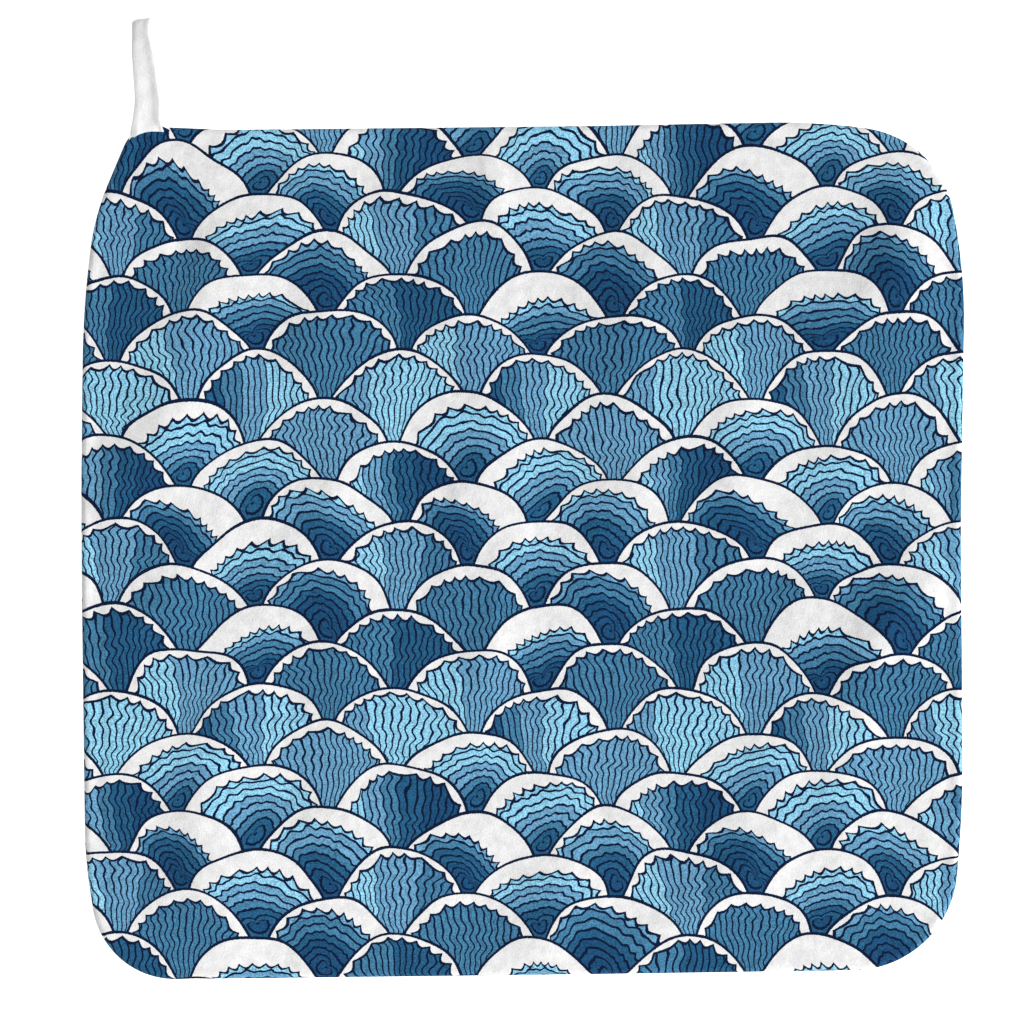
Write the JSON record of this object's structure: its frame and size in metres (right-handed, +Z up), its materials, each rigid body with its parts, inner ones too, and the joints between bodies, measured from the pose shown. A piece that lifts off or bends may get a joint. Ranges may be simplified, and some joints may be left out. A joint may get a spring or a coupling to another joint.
{
  "type": "square hand towel with hanging loop",
  "caption": "Square plush hand towel with rounded corners, lying flat, printed side up, with a narrow tape loop sewn into one corner for hanging.",
  "frame": {"origin": "centre of the bounding box at its base, on the surface that the towel lies on", "axes": "+Z up out of the printed face, +Y from the plain edge towards the edge with the hanging loop, +X to the right as the loop is at the upper left"},
  "size_m": [0.2987, 0.3254, 0.0087],
  "materials": {
    "printed_plush": "short white plush printed in navy, blues and white, matt, with a soft sheen; plain white on the back",
    "white_tape": "soft white polyester tape, matt"
  },
  "bodies": {
    "root": {"towel": "printed_plush", "hanging_loop": "white_tape"}
  },
  "joints": []
}
